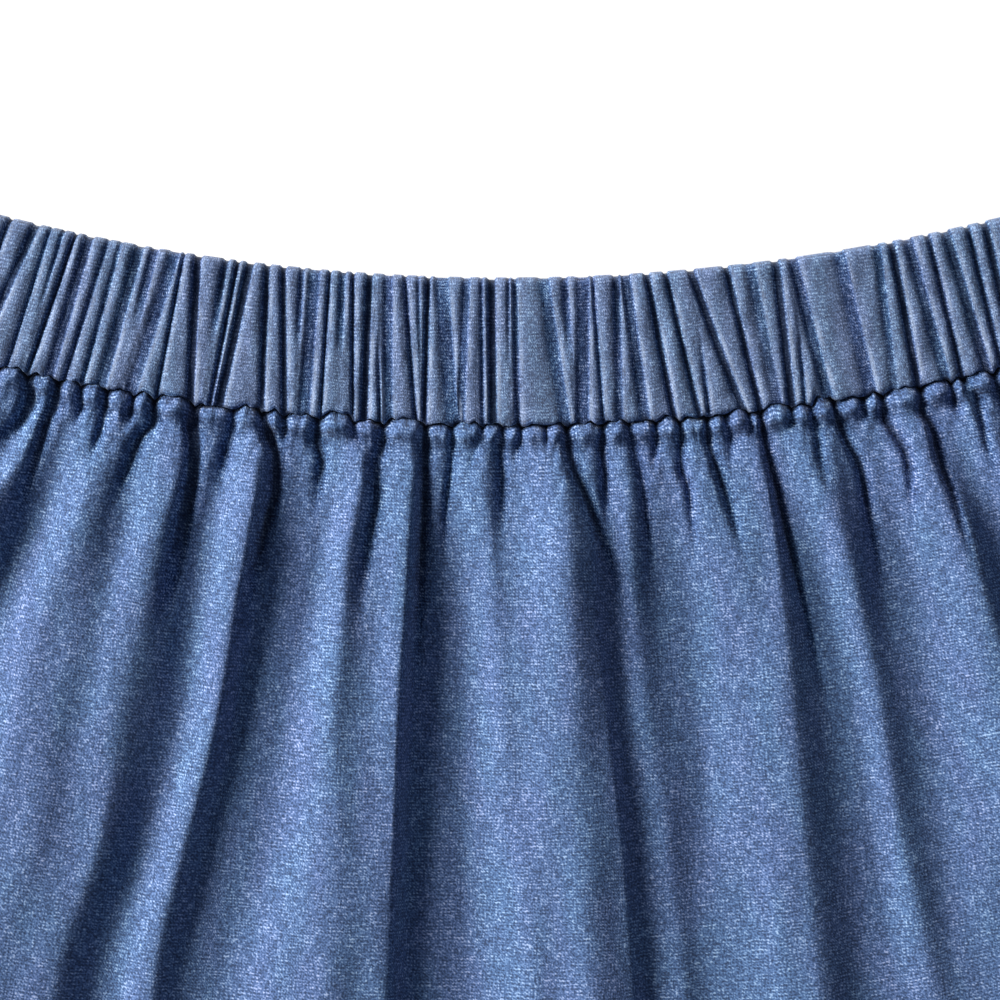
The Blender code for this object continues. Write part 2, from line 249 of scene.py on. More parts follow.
# %% Tables of creases and folds
CREASE_AT = [0, 6, 12, 20, 30]
CREASES = [
    # x at each of CREASE_AT, depth, reach, left side, right side, floor, rise of the knuckle
    (-171.7, -173.8, -175.9, -178.0, -181.1, 3.6, 26, 4.0, 4.5, 0.3, 0.8),
    (-163.2, -165.3, -167.4, -170.0, -173.1, 3.4, 20, 4.0, 4.5, 0.2, 1.2),
    (-154.7, -156.8, -158.9, -162.0, -165.1, 3.8, 34, 4.0, 4.5, 0.5, 0.6),
    (-147.2, -149.3, -151.4, -154.0, -157.1, 3.0, 18, 3.5, 3.5, 0.2, 1.0),
    (-138.9, -138.3, -140.4, -146.5, -150.1, 4.2, 26, 2.8, 3.0, 2.0, 0.7),
    (-130.4, -131.4, -133.8, -136.2, -139.6, 4.0, 44, 3.0, 3.5, 1.2, 0.8),
    (-124.2, -124.3, -126.4, -126.0, -126.1, 3.4, 14, 3.0, 2.5, 0.4, 1.0),
    (-116.9, -117.8, -119.2, -121.5, -124.1, 3.8, 24, 3.2, 3.2, 0.6, 0.9),
    (-109.7, -110.8, -111.9, -113.0, -114.1, 4.2, 11, 2.6, 2.6, 0.4, 1.1),
    (-104.0, -104.2, -108.4, -111.5, -115.1, 4.0, 36, 3.2, 4.5, 1.0, 1.5),
    (-92.7, -93.4, -92.9, -93.5, -95.6, 4.6, 70, 3.0, 3.0, 2.4, 0.3),
    (-81.7, -82.4, -83.9, -86.0, -88.1, 3.4, 26, 3.6, 2.6, 1.2, 1.5),
    (-74.2, -72.3, -70.4, -70.5, -73.1, 4.6, 70, 2.6, 3.4, 1.4, 1.0),
    (-67.7, -68.0, -68.1, -68.0, -68.1, 3.0, 11, 2.0, 2.6, 0.4, 0.7),
    (-58.2, -58.8, -57.4, -58.5, -60.6, 4.0, 30, 4.0, 2.4, 1.2, 2.2),
    (-48.7, -47.3, -45.9, -45.0, -45.1, 2.4, 10, 2.4, 2.4, 0.3, 0.5),
    (-40.2, -40.8, -42.4, -42.5, -44.1, 3.6, 60, 3.6, 3.4, 1.2, 1.6),
    (-28.7, -28.8, -28.9, -29.0, -29.6, 4.6, 80, 2.6, 2.4, 1.0, 0.4),
    (-21.2, -21.3, -21.9, -23.0, -23.7, 3.2, 46, 2.2, 2.4, 0.3, 1.0),
    (-12.7, -14.6, -16.6, -17.4, -17.7, 2.0, 16, 2.2, 2.4, 0.2, 0.7),
    (-7.2, -7.8, -7.5, -7.6, -7.7, 3.4, 34, 3.6, 2.6, 0.6, 0.3),
    (-2.2, -3.0, -4.1, -5.0, -5.1, 3.0, 12, 2.4, 2.4, 0.3, 0.4),
    (4.8, 4.4, 4.1, 4.0, 3.9, 1.6, 8, 2.0, 2.0, 0.2, 0.6),
    (10.3, 10.8, 12.1, 15.5, 18.9, 4.2, 56, 3.0, 4.0, 1.0, 0.5),
    (20.8, 20.2, 20.9, 21.0, 21.4, 4.2, 34, 3.0, 2.4, 0.8, 0.9),
    (27.8, 28.6, 30.1, 31.5, 32.4, 3.0, 50, 3.0, 3.6, 0.6, 0.4),
    (35.3, 35.4, 34.5, 34.0, 33.9, 3.2, 15, 2.8, 2.2, 0.6, 1.1),
    (41.8, 42.2, 42.1, 44.2, 45.1, 4.0, 42, 2.6, 2.4, 0.4, 0.3),
    (49.3, 49.6, 51.1, 53.5, 56.4, 4.0, 44, 2.8, 4.0, 0.5, 0.4),
    (54.6, 56.0, 55.6, 56.5, 58.0, 3.0, 16, 2.8, 3.0, 0.5, 1.4),
    (61.1, 61.5, 62.2, 62.8, 63.4, 3.0, 9, 2.0, 2.2, 0.3, 0.2),
    (64.3, 65.2, 66.3, 68.4, 70.5, 4.6, 90, 2.8, 2.4, 0.6, 1.6),
    (73.0, 72.4, 71.6, 72.0, 71.9, 3.6, 8, 2.2, 2.4, 0.6, 0.6),
    (78.6, 79.6, 80.2, 81.8, 84.0, 3.2, 28, 3.2, 3.0, 0.8, 1.9),
    (84.5, 86.2, 88.6, 92.2, 93.9, 4.2, 60, 3.0, 3.0, 0.8, 0.6),
    (92.8, 93.0, 93.1, 93.5, 93.9, 4.0, 8, 1.8, 2.2, 1.2, 0.6),
    (98.4, 98.6, 101.9, 105.1, 106.0, 4.4, 42, 2.8, 2.6, 0.9, 0.8),
    (108.9, 109.0, 112.0, 113.6, 116.4, 4.4, 60, 3.0, 3.0, 0.9, 0.8),
    (117.3, 118.2, 119.7, 121.0, 122.4, 4.4, 12, 2.6, 2.6, 0.5, 0.6),
    (120.4, 124.4, 125.4, 126.8, 130.0, 3.6, 34, 2.8, 3.0, 0.6, 0.8),
    (129.3, 130.8, 132.7, 135.0, 137.9, 4.0, 40, 3.0, 3.0, 0.7, 0.8),
    (138.3, 139.7, 141.6, 144.0, 147.4, 3.4, 22, 3.6, 3.6, 0.3, 1.2),
    (146.3, 148.2, 150.1, 152.5, 155.9, 3.8, 36, 3.6, 4.0, 0.6, 0.8),
    (154.8, 156.7, 158.6, 161.0, 164.4, 3.4, 20, 4.0, 4.0, 0.3, 1.4),
    (163.3, 165.2, 167.1, 169.5, 172.9, 3.8, 32, 4.0, 4.5, 0.5, 0.8),
    (172.3, 174.2, 176.1, 178.0, 180.9, 3.4, 22, 4.0, 4.0, 0.3, 1.0),
]
FOLD_AT = [0, 15, 40, 80, 120, 162]
FOLDS = [
    # x at each of FOLD_AT, rise at 15, 40, 80 and 162
    (-180.4, -184.8, -192.1, -203.8, -215.5, -227.8, 0.3, 0.5, 0.5, 0.5),
    (-170.7, -175.4, -186.2, -199.8, -212.3, -224.9, 3.0, 7.0, 7.5, 8.0),
    (-159.7, -164.9, -178.2, -193.8, -207.3, -218.9, 0.5, 1.0, 1.0, 1.0),
    (-146.7, -152.9, -168.2, -186.8, -200.3, -212.9, 3.5, 8.0, 9.0, 9.0),
    (-135.7, -141.9, -158.2, -178.8, -193.3, -206.9, 0.8, 2.0, 2.5, 2.0),
    (-130.7, -136.4, -150.2, -170.8, -185.3, -199.9, 3.0, 8.0, 9.5, 9.0),
    (-123.7, -128.4, -138.2, -157.8, -172.3, -185.9, 0.5, 0.8, 1.0, 1.0),
    (-111.7, -117.4, -125.2, -135.8, -140.3, -148.9, 3.0, 8.5, 10.0, 9.2),
    (-104.7, -107.9, -113.2, -121.8, -130.3, -141.9, 1.6, 5.5, 8.5, 8.8),
    (-96.2, -97.2, -103.5, -112.3, -120.3, -132.9, 3.4, 8.5, 9.5, 8.4),
    (-85.7, -84.4, -92.7, -96.8, -107.3, -119.9, 0.5, 1.5, 2.6, 1.6),
    (-75.7, -75.4, -79.2, -86.3, -96.3, -106.4, 4.5, 9.5, 8.8, 8.0),
    (-70.7, -70.9, -73.7, -81.3, -89.8, -97.9, 1.3, 2.5, 2.4, 2.2),
    (-56.7, -56.4, -60.2, -69.8, -78.3, -89.9, 0.3, 1.2, 1.2, 1.4),
    (-47.2, -46.9, -51.2, -54.3, -54.3, -57.9, 4.0, 8.0, 9.5, 10.5),
    (-40.7, -40.4, -43.2, -44.8, -46.3, -48.9, 2.2, 5.0, 8.3, 9.8),
    (-33.2, -32.9, -34.4, -37.4, -39.4, -41.8, 3.8, 7.8, 9.8, 8.6),
    (-28.7, -28.9, -30.2, -32.8, -34.3, -35.4, 0.9, 1.4, 2.4, 2.1),
    (-24.7, -23.4, -22.2, -20.8, -20.3, -20.4, 0.3, 0.3, 0.0, 0.0),
    (-13.7, -12.4, -10.2, -7.3, -3.3, 0.1, 3.0, 5.5, 7.8, 8.5),
    (-6.2, -5.4, -6.7, -4.3, -0.3, 3.1, 1.6, 5.2, 8.2, 9.2),
    (8.8, 9.1, 10.3, 11.2, 12.2, 15.1, 5.5, 12.5, 12.5, 12.0),
    (15.3, 16.0, 16.8, 20.2, 24.2, 27.0, 2.2, 9.6, 10.0, 9.2),
    (20.3, 22.1, 23.8, 27.2, 30.7, 34.1, 1.5, 4.2, 4.4, 4.0),
    (24.8, 26.1, 27.6, 31.7, 36.7, 41.1, 2.4, 5.2, 5.4, 4.6),
    (35.3, 35.6, 39.8, 45.2, 47.7, 51.1, 0.6, 1.2, 2.4, 2.6),
    (46.3, 49.1, 56.8, 60.2, 61.7, 65.1, 2.6, 6.2, 7.6, 6.6),
    (56.3, 57.1, 62.3, 64.7, 65.7, 70.1, 1.6, 6.0, 8.8, 8.4),
    (62.3, 64.6, 67.8, 71.2, 73.7, 77.6, 2.6, 6.8, 10.2, 9.4),
    (67.3, 69.1, 75.8, 87.7, 93.2, 99.1, 0.5, 1.8, 3.2, 3.0),
    (74.8, 77.6, 86.8, 95.2, 100.7, 110.1, 3.2, 6.4, 6.6, 6.4),
    (91.3, 94.1, 101.8, 108.2, 112.2, 121.1, 0.3, 0.6, 1.6, 4.8),
    (107.3, 109.6, 118.8, 130.2, 139.7, 150.1, 4.2, 9.5, 10.0, 9.5),
    (114.3, 117.1, 129.8, 143.2, 153.7, 164.1, 1.0, 2.5, 3.0, 3.0),
    (121.3, 125.1, 138.8, 153.2, 163.7, 174.1, 3.6, 8.0, 9.0, 9.0),
    (131.3, 136.1, 149.8, 164.2, 175.7, 187.1, 0.8, 1.0, 1.0, 1.0),
    (145.3, 150.1, 161.8, 177.2, 188.7, 200.1, 3.5, 9.0, 9.5, 9.0),
    (158.3, 163.1, 173.8, 188.2, 199.7, 211.1, 0.5, 1.0, 1.0, 1.0),
    (169.3, 174.1, 183.8, 196.2, 207.7, 219.1, 3.0, 8.0, 8.5, 8.0),
    (180.4, 184.8, 192.1, 203.8, 215.5, 227.8, 0.3, 0.5, 0.5, 0.5),
]
print("creases:", len(CREASES), "fold lines:", len(FOLDS))

# %% [markdown]
# A line through the readings has to be smooth but must not swing past them, so each span is a
# cubic whose end slopes are the harmonic mean of the neighbouring chords.

# %% Smooth lines through a table


def through(stations, values, at):
    """Monotone cubic through values (stations, lines), read at each place in at."""
    stations = np.asarray(stations, dtype=float)
    values = np.asarray(values, dtype=float)
    step = np.diff(stations)[:, None]
    chord = np.diff(values, axis=0) / step
    before, after = chord[:-1], chord[1:]
    both = np.where(before * after > 0, before + after, 1)
    inner = np.where(before * after > 0, 2 * before * after / both, 0)
    slope = np.concatenate([chord[:1], inner, chord[-1:]])
    span = np.clip(np.searchsorted(stations, at, "right") - 1, 0, len(step) - 1)
    width = step[span]
    t = (np.asarray(at)[:, None] - stations[span][:, None]) / width
    rise = values[span + 1] - values[span]
    return (
        values[span]
        + rise * t * t * (3 - 2 * t)
        + width * slope[span] * t * (1 - t) ** 2
        - width * slope[span + 1] * t * t * (1 - t)
    )


# %% [markdown]
# A fold line's place and height are read at each row, and the cloth between two lines follows
# the same smooth cubic across. On the left the folds fall evenly from crest to valley. Further
# right they fall steeply just past the crest, where the cloth leans over.

# %% Long folds
EVEN_FALLS = 10
FALL_POWER = 1.6
HEM_SHARE = 0.75


def early_fall(line, rise, place):
    """Places moved on in each span that falls to a valley: share s becomes 1 - (1 - s)^power."""
    span = np.clip(np.searchsorted(line, place, "right") - 1, 0, len(line) - 2)
    after = np.append(np.diff(rise)[1:], 1)
    falls = (np.diff(rise) < 0) & (after >= 0) & (np.arange(len(rise) - 1) >= EVEN_FALLS)
    width = np.diff(line)[span]
    share = (place - line[span]) / width
    return np.where(falls[span], line[span] + width * (1 - (1 - share) ** FALL_POWER), place)


def fold_heights(down, angle):
    """Height of the long folds at each row's distance and angles: a cubic across its lines."""
    table = np.array(FOLDS)
    radii = SEAM_RADIUS + np.array(FOLD_AT) * MM
    known = angle_of(table[:, :6].T, radii[:, None])
    known = np.concatenate([known, known[-1:]])
    stations = np.append(FOLD_AT, PANEL_LENGTH / MM) * MM
    # Measured along 1 / radius, a straight line on the table is nearly straight here too
    lines = through(-1 / (SEAM_RADIUS + stations), known, -1 / (SEAM_RADIUS + down))
    at_rise = table[:, 6:10].T * MM
    rises = np.concatenate([0 * at_rise[:1], at_rise, HEM_SHARE * at_rise[-1:]])
    rises = through(np.array([0, 15, 40, 80, 162, PANEL_LENGTH / MM]) * MM, rises, down)
    return np.stack([
        through(line, rise[:, None], early_fall(line, rise, np.clip(row, line[0], line[-1])))[:, 0]
        for line, rise, row in zip(lines, rises, angle)
    ])


# %% [markdown]
# ## Soft curves
# Cloth has no corners. Every change from here on follows one of three curves: an S from one
# level to the next, a quarter circle where cloth rolls over an edge, and a bell for a bump.

# %% Soft curves


def eased(share):
    """0 to 1 along a soft S: 3 s squared - 2 s cubed, held at its ends."""
    share = np.clip(share, 0, 1)
    return share * share * (3 - 2 * share)


def quarter_round(share):
    """0 to 1 along a quarter circle: sqrt(1 - (1 - s) squared), held at its ends."""
    return np.sqrt(np.clip(1 - np.clip(1 - share, 0, 1) ** 2, 0, 1))


def bell(place, middle, width):
    """A bump, 1 at its middle: exp(-((place - middle) / width) squared)."""
    return np.exp(-((place - middle) / width) ** 2)


print("a tenth of the way along:", eased(0.1).round(3), quarter_round(0.1).round(3))

# %% [markdown]
# A crease is a trough with a narrow floor, and each of its sides is a quarter of an ellipse, as
# cloth rolls into a gather. Its sides stand steeper at the knuckle just under the seam, lie
# wider at the neck below it, and fade out at the end of its reach.

# %% Creases
ROUNDNESS = 1.05
FLOOR_BLUR = 0.04
STEEPER, KNUCKLE_AT, KNUCKLE_SPAN = 0.25, 2.5, 1.8
WIDER, NECK_AT, NECK_SPAN = 0.3, 7, 2.4
FULL_SHARE, FADE_SHARE = 0.4, 0.6


def crease_depth(down, angle):
    """Depth of the deepest crease at each point. A crease's side is a quarter ellipse."""
    below = down / MM
    place = np.sin(angle) * (SEAM_RADIUS + down) / MM
    lean = (
        1 - STEEPER * bell(below, KNUCKLE_AT, KNUCKLE_SPAN) + WIDER * bell(below, NECK_AT, NECK_SPAN)
    )
    last = CREASE_AT[-1]
    deepest = np.zeros_like(place)
    for row in CREASES:
        x, (depth, reach, left, right, floor) = row[:5], row[5:10]
        line = through(CREASE_AT, np.array(x)[:, None], np.clip(below[:, 0], 0, last))
        line = line + np.clip(below - last, 0, None) * (x[4] - x[3]) / (last - CREASE_AT[-2])
        beside = place - line
        side = np.where(beside < 0, left, right) * lean
        beside = np.sqrt(np.clip(np.abs(beside) - floor / 2, 0, None) ** 2 + FLOOR_BLUR)
        fade = 1 - eased((below - FULL_SHARE * reach) / (FADE_SHARE * reach))
        side_share = quarter_round(beside / (ROUNDNESS * side))
        deepest = np.maximum(deepest, depth * fade * (1 - side_share))
    return deepest * MM


# %% [markdown]
# Cloth has no raw side edges here: a side seam rounds over and runs down to the piece below. So
# both sides of a front grid are carried on through a quarter turn.

# %% Rounded sides


def rolled(angle, radius, height, meet):
    """Both side edges of a grid carried on round a quarter turn to the height meet."""
    turn = np.radians([30, 60, 90])
    ends = []
    for end, way in ((0, -1), (-1, 1)):
        drop = height[:, [end]] - meet
        reach = np.clip(abs(drop), 0.5 * MM, 1.2 * MM) * np.sin(turn)
        ends.append((
            angle[:, [end]] + way * reach / radius[:, [end]],
            radius[:, [end]] + 0 * turn,
            height[:, [end]] - drop * (1 - np.cos(turn)),
        ))
    left, right = ends
    return [
        np.concatenate([before[:, ::-1], middle, after], axis=1)
        for before, middle, after in zip(left, (angle, radius, height), right)
    ]


def widened(grid):
    """A grid of marks with its side columns repeated, to fit a rolled piece."""
    return np.pad(grid, ((0, 0), (3, 3)), mode="edge")


# %% [markdown]
# Real cloth is never even. A few sines with random directions and lengths, added up, make smooth
# waves that nowhere repeat, and they rough up every surface below.

# %% Uneven waves


def soft_noise(across, down, pitch_across, pitch_down, waves=14):
    """Smooth uneven waves: a sum of sines with random turns, about -1 to 1."""
    total = 0
    for _ in range(waves):
        turn = random.uniform(0, 2 * math.pi)
        tilt, start = random.uniform(0.55, 1.45, 2), random.uniform(0, 2 * math.pi)
        total = total + np.sin(
            2 * math.pi * (np.cos(turn) * across * tilt[0] / pitch_across
                           + np.sin(turn) * down * tilt[1] / pitch_down) + start
        )
    return total / math.sqrt(waves)


# %% [markdown]
# ## The front panel
# Between two creases the cloth ends in a knuckle, a small rounded bump that pushes the seam line
# up. So the seam runs in uneven scallops, and a few short waves roughen them.

# %% Knuckles along the seam
SWING = 0.5 * MM
ARCH_POWER = 0.6
# Small wiggles of the seam line: period, start and size of each
WIGGLES = random.uniform((1.6 * MM, 0, 0.04 * MM), (6 * MM, 6.28, 0.16 * MM), (10, 3)).T


def knuckle_arch(angle):
    """Between two creases at the seam: an arch 1 - (2 u - 1) squared, and its rise."""
    lines = angle_of([row[0] for row in CREASES], SEAM_RADIUS)
    lines = np.concatenate([[-HALF_FAN], lines, [HALF_FAN]])
    rises = np.array([1.0] + [row[10] for row in CREASES]) * MM
    number = np.clip(np.searchsorted(lines, angle, "right") - 1, 0, len(lines) - 2)
    share = (angle - lines[number]) / np.diff(lines)[number]
    return np.clip(1 - (2 * share - 1) ** 2, 0, 1), rises[number]


def seam_scallop(angle):
    """How far the seam line swings from its arc: up on each knuckle, down at each crease."""
    arch, rise = knuckle_arch(angle)
    period, start, size = WIGGLES
    wiggle = (size * np.sin(2 * np.pi * angle[:, None] * SEAM_RADIUS / period + start)).sum(axis=1)
    return SWING + wiggle - (rise + SWING) * arch ** ARCH_POWER


swings = seam_scallop(np.linspace(-HALF_FAN, HALF_FAN, 2000))
print("the seam line swings from %.1f to %.1f mm" % (swings.min() / MM, swings.max() / MM))

# %% [markdown]
# The grid is fine where the photograph looks, down the gathers and across its width, and coarse
# beyond. Extra rows follow the turned hem's edge and the rounded lower edge.

# %% Rows and columns of the front panel
ROWS_BELOW = np.concatenate([
    np.arange(0, 20, 0.65),
    np.arange(20, 60, 1.4),
    np.arange(60, 170, 2.8),
    np.arange(170, 850, 20),
    [855, 857.6, 858.6, 859.6, 866, 873, 877.5, 879, 879.7, 880],
]) * MM
SEEN = 150
COLUMNS_X = np.concatenate([
    np.arange(-180.4, -SEEN, 1.1),
    np.linspace(-SEEN, SEEN, 600),
    np.arange(SEEN + 1.1, 180.4, 1.1),
])
print("front panel:", len(ROWS_BELOW), "rows,", len(COLUMNS_X), "columns")

# %% [markdown]
# The height of the cloth is the long folds' height, plus the puff that the gathering gives it,
# less the deepest crease there. A ridge over each knuckle, small unevenness and thin puckers go
# on top, and it all tucks down beside the band at the seam.

# %% Height of the front panel
BASE = 2 * CLOTH + GAP
LIFT = 0.4 * MM
TUCK = 2.4 * MM
TUCK_START = 0.86
PUFF, PUFF_LEFT, PUFF_REACH = 4.2 * MM, 0.4 * MM, 70 * MM
RIDGE, RIDGE_AT, RIDGE_WIDTH = 2.2 * MM, 3.0 * MM, 2.0 * MM
DIP, DIP_AT = 0.12, 7.8 * MM
ROUGH, ROUGH_PITCH, ROUGH_FROM = 0.3, (14 * MM, 50 * MM), 20 * MM
FINE, FINE_PITCH, FINE_REACH = 0.22, (4 * MM, 6 * MM), 16 * MM
PUCKER, PUCKER_WIDTH, PUCKER_REACH = 0.55 * MM, 0.16, 11 * MM
PUCKER_PITCH = (7 * MM, 30 * MM)


def panel_height(down, angle, crease):
    """Height of the front panel, and the waves and depths of its puckers."""
    fold = fold_heights(ROWS_BELOW, angle)
    arch, rise = knuckle_arch(angle[0])
    size = 0.55 + 0.55 * rise / MM
    start = TUCK_START * arch ** ARCH_POWER * np.clip(size, 0, 1)
    ditch = start + (1 - start) * quarter_round(down / TUCK)
    puff = PUFF_LEFT + (PUFF - PUFF_LEFT) * (1 - eased(down / PUFF_REACH))
    across = angle * SEAM_RADIUS
    rough = soft_noise(across, down, *ROUGH_PITCH) * ROUGH * MM * eased(down / ROUGH_FROM)
    fine = soft_noise(across, down, *FINE_PITCH) * FINE * MM * np.exp(-down / FINE_REACH)
    line = soft_noise(across, down, *PUCKER_PITCH)
    pucker = -PUCKER * bell(line, 0, PUCKER_WIDTH) * np.exp(-down / PUCKER_REACH)
    knuckle = bell(down, RIDGE_AT, RIDGE_WIDTH) - DIP * bell(down, DIP_AT, RIDGE_WIDTH)
    height = BASE + LIFT + ditch * np.maximum(puff + fold - crease, 0)
    height = height + (rough + fine + pucker + RIDGE * knuckle * size * arch ** 0.8) * ditch
    return height, line, pucker


# %% [markdown]
# The turned hem is a double layer, so the cloth steps up 0.8 mm there. Its lower edge rounds
# over, and one more strip runs back under it. The mark of wear and painted shade is 1 on open
# cloth, which the denim wears a little paler. It falls to 0 down in a crease, in a pucker and
# beside the seam, where the denim is painted dark as painted shade.

# %% Shape of the front panel
HEM_TURN, HEM_STEP, HEM_SLOPE = 22 * MM, 0.8 * MM, 1.4 * MM
HEM_DROP, HEM_ROUND = 1.1 * MM, 2 * MM
SCALLOP_REACH = 4 * MM
# How far the painted shade along the seam reaches, and the crease depth at which the painted shade is
# full
SEAM_SHADE_REACH = 1.2 * MM
DARK_DEPTH = 3 * MM


def front_panel():
    """The gathered front as a grid of points and its mark of wear and painted shade."""
    down = ROWS_BELOW[:, None]
    angle = np.broadcast_to(angle_of(COLUMNS_X, SEAM_RADIUS), (len(down), len(COLUMNS_X)))
    crease = crease_depth(down + 0 * angle, angle)
    height, line, pucker = panel_height(down, angle, crease)
    height = height + HEM_STEP * eased((down - PANEL_LENGTH + HEM_TURN) / HEM_SLOPE)
    height = height - HEM_DROP * eased((down - PANEL_LENGTH + HEM_ROUND) / HEM_ROUND) ** 2
    radius = SEAM_RADIUS + down + seam_scallop(angle[0]) * np.exp(-down / SCALLOP_REACH)
    angle, radius, height = rolled(angle, radius, height, CLOTH + GAP)
    under = height[-2:] - np.array([[0.3], [0.1]]) * MM
    height = np.concatenate([height, under])
    radius = np.concatenate([radius, radius[-1:] - 1 * MM, radius[-1:] - 9 * MM])
    angle = np.concatenate([angle, angle[-1:], angle[-1:]])
    # Painted shade: the mark drops beside the seam and down in creases and puckers, so the denim is
    # painted dark there
    painted_seam_shade = np.clip(0.55 + 0.45 * line, 0, 1.1) * bell(down, 0, SEAM_SHADE_REACH)
    wear_shade_highlight = widened(1 - np.clip(crease / DARK_DEPTH - 0.25 * pucker / MM + painted_seam_shade, 0, 1))
    return laid(angle, radius, height), np.concatenate([wear_shade_highlight, wear_shade_highlight[-2:]])


points, wear_shade_highlight = front_panel()
print("front panel: highest point %.1f mm" % (points[..., 2].max() / MM))

# %% [markdown]
# ## Cloth coordinates
# Down the cloth, a thread's place is its distance from the seam. Across it, the columns are
# threads: their spacing is the real length of cloth between them, the mean over the rows where
# the gathers have opened out, and it grows to the hem as a flared panel's does.

# %% Cloth coordinates of the front


def panel_cloth(points):
    """UV in metres: mean cloth length across the rows 30 to 160 mm down, easing to the hem's."""
    steps = np.linalg.norm(np.diff(points, axis=1), axis=-1)
    below = np.append(ROWS_BELOW, PANEL_LENGTH + np.array([1, 9]) * MM)
    opened = (below > 30 * MM) & (below < 160 * MM)
    lengths = np.stack([steps[opened].mean(axis=0), steps[-1]])
    place = np.concatenate([np.zeros((2, 1)), np.cumsum(lengths, axis=1)], axis=1)
    place = place - place[:, place.shape[1] // 2][:, None]
    share = np.clip((below - 170 * MM) / (PANEL_LENGTH - 170 * MM), 0, 1)[:, None] ** 1.5
    u = place[0] + share * (place[1] - place[0])
    v = np.broadcast_to(-below[:, None], u.shape)
    return np.stack([u, v], axis=-1)


front_cloth = panel_cloth(points)
print("cloth across the front: %.0f mm under the gathers, %.0f mm at the hem"
      % (np.ptp(front_cloth[0, :, 0]) / MM, np.ptp(front_cloth[-1, :, 0]) / MM))
front = grid_piece("front_panel_cloth", points, front_cloth, {"wear_shade_highlight": wear_shade_highlight})

# %% [markdown]
# ## The waistband
# A groove of the band has a flat floor and two steep walls, the right one sharper. The pleat tops
# between are slightly domed, and fall a little towards each groove. The left edge of a pleat, the
# side that faces the lamp, gets a pale rim that is a painted highlight.

# %% Grooves of the band
PLEAT_TOP = 3.1 * MM
GROOVE_SHARE = 0.56
DOME, DOME_REACH = 0.45 * MM, 2.6
RIGHT_WALL = 0.7
# Place and width in mm of the painted highlight rim on a pleat's lit left edge
HIGHLIGHT_RIM_AT, HIGHLIGHT_RIM_WIDTH = 1.0, 0.4
BAND_SHARES = np.array([0, 0.05, 0.1, 0.16, 0.24, 0.34, 0.46, 0.58, 0.68, 0.76, 0.83, 0.89, 0.95])
BAND_ROWS = np.concatenate([
    [-1.2, -1.1, -0.8, -0.4, 0.1, 0.7, 1.4, 2.2],
    np.arange(3.2, 34, 1.1),
    np.arange(34, 39.5, 0.6),
    [39.6, 39.85, 40.0],
]) * MM


def across_pleats(creases_x, radius):
    """Angles of the columns: the same shares of each pleat between two creases, then the end."""
    edges = np.concatenate([[-HALF_FAN], angle_of(creases_x, radius), [HALF_FAN]])
    lines = edges[:-1, None] + np.diff(edges)[:, None] * BAND_SHARES
    return np.append(lines.ravel(), HALF_FAN)


def band_grooves(angle, radius, share):
    """Depth of the deepest groove, fall of the domed pleat tops, and mark of their painted highlight
    rims.
    """
    place = np.sin(angle) * radius / MM
    depth, dome, highlight_rim = np.zeros((3,) + angle.shape)
    for top_x, seam_x, floor, top_deep, seam_deep in band_table:
        line = (1 - share) * angle_of(top_x, WAIST_RADIUS) + share * angle_of(seam_x, SEAM_RADIUS)
        beside = place - np.sin(line) * radius / MM
        # A narrow groove is drawn narrower yet, and a wide one is shallower
        floor = floor - 0.4 * np.clip(1.8 - floor, 0, 1)
        shallow = 1 - 0.4 * float(eased(floor - 1.4))
        left = eased(beside + floor + 0.9)
        right = 1 - eased((beside + 0.1) / RIGHT_WALL)
        fade = np.clip((1 - share) * top_deep + share * seam_deep, 0, None)
        if min(top_deep, seam_deep) == 0:
            keep = share if top_deep == 0 else 1 - share
            fade = max(top_deep, seam_deep) * eased((keep - 0.35) / 0.5)
        away = np.maximum(beside, -beside - floor)
        domed = DOME * (1 - eased((away - 0.2) / DOME_REACH)) * np.clip(fade / 2, 0, 1)
        # A painted highlight: a pale rim just right of the groove, on the pleat's lit left edge
        highlight_rim = np.maximum(highlight_rim, bell(beside, HIGHLIGHT_RIM_AT, HIGHLIGHT_RIM_WIDTH) * np.clip(fade / 3, 0, 1))
        depth = np.maximum(depth, shallow * fade * MM * left * right)
        dome = np.maximum(dome, domed)
    return depth, dome, highlight_rim


# %% [markdown]
# The band's top edge is a fold, so the cloth rounds over it. At the seam it dives in beside the
# panel, deeper at a crease than at a knuckle.

# %% Height of the waistband's front
BAND_BASE = BAND + GAP + BAND + 0.3 * MM
LOW_EDGE = BAND + 0.2 * MM
TOP_FOLD, TOP_ROUND = 1.2 * MM, 2.6 * MM
BAND_ROUGH, BAND_ROUGH_PITCH = 0.22, (7 * MM, 26 * MM)
BAND_FINE, BAND_FINE_PITCH = 0.06, (2.4 * MM, 5 * MM)
TURN_UNDER, TURN_UNEVEN, TURN_PITCH = 2.3, 0.8, (9 * MM, 90 * MM)
CREASE_FALL, KNUCKLE_LESS = 2.8, 2.4


def band_height(down, angle, radius, depth, dome, pleat):
    """Height of the band: its pleats less their grooves, times a round at the top edge."""
    across = angle * radius
    rough = soft_noise(across, down, *BAND_ROUGH_PITCH) * BAND_ROUGH * MM
    fine = soft_noise(across, down, *BAND_FINE_PITCH) * BAND_FINE * MM
    height = BAND_BASE + PLEAT_TOP - (GROOVE_SHARE * depth + dome * pleat) + rough + fine
    height = LOW_EDGE + (height - LOW_EDGE) * quarter_round((down + TOP_FOLD) / TOP_ROUND)
    turn_under = (TURN_UNDER + TURN_UNEVEN * soft_noise(across, down, *TURN_PITCH)) * MM
    dive = quarter_round((BAND_HEIGHT - down) / np.clip(turn_under, 1 * MM, 4 * MM))
    arch, _ = knuckle_arch(angle[-1])
    fall = (CREASE_FALL - KNUCKLE_LESS * arch ** ARCH_POWER) * MM
    return height - fall * (1 - dive) * np.clip(pleat + 0.3, 0, 1)


